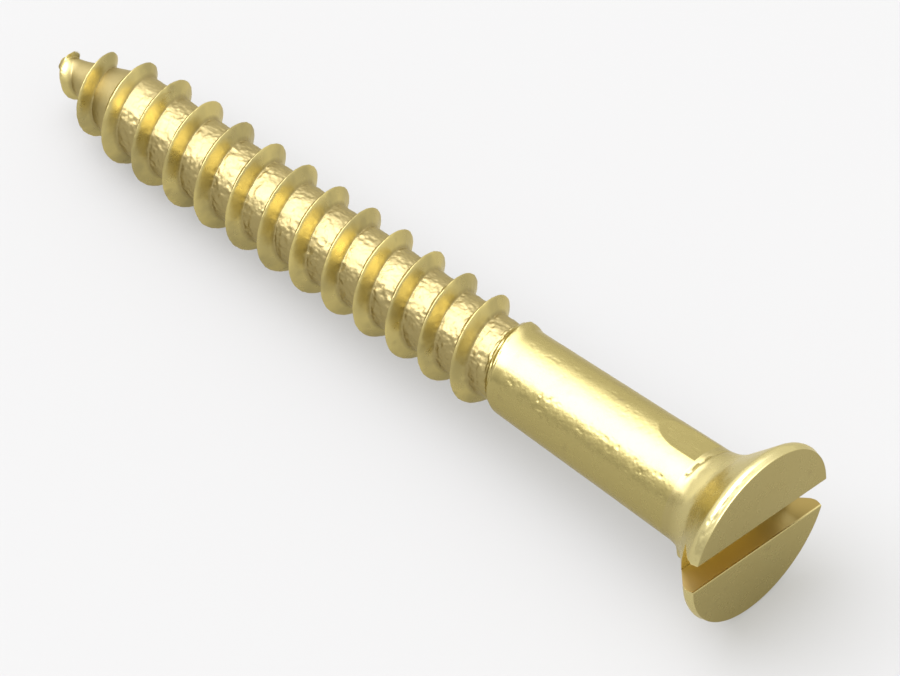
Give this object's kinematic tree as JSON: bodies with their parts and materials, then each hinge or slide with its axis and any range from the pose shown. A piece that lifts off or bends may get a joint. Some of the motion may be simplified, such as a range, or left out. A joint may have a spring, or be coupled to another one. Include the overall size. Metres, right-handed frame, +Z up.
{
  "type": "wood screw",
  "caption": "Slotted countersunk brass wood screw with a plain shank, a spaced right-hand thread and a blunt gimlet point.",
  "frame": {"origin": "centre of the head's flat face, which is also the middle of the mouth of the driver slot", "axes": "+X along the screw's axis and out of the head's flat face, so the tip is at -X; +Z up, with the screw lying on its side"},
  "size_m": [0.0381, 0.008, 0.0081],
  "materials": {
    "head_brass": "satin",
    "shank_brass": "satin, lightly marked",
    "thread_brass": "bright rolled crests over rough roots",
    "point_brass": "bright"
  },
  "bodies": {
    "root": {"head": "head_brass", "shank": "shank_brass", "threaded_section": "thread_brass", "gimlet_point": "point_brass"}
  },
  "joints": []
}
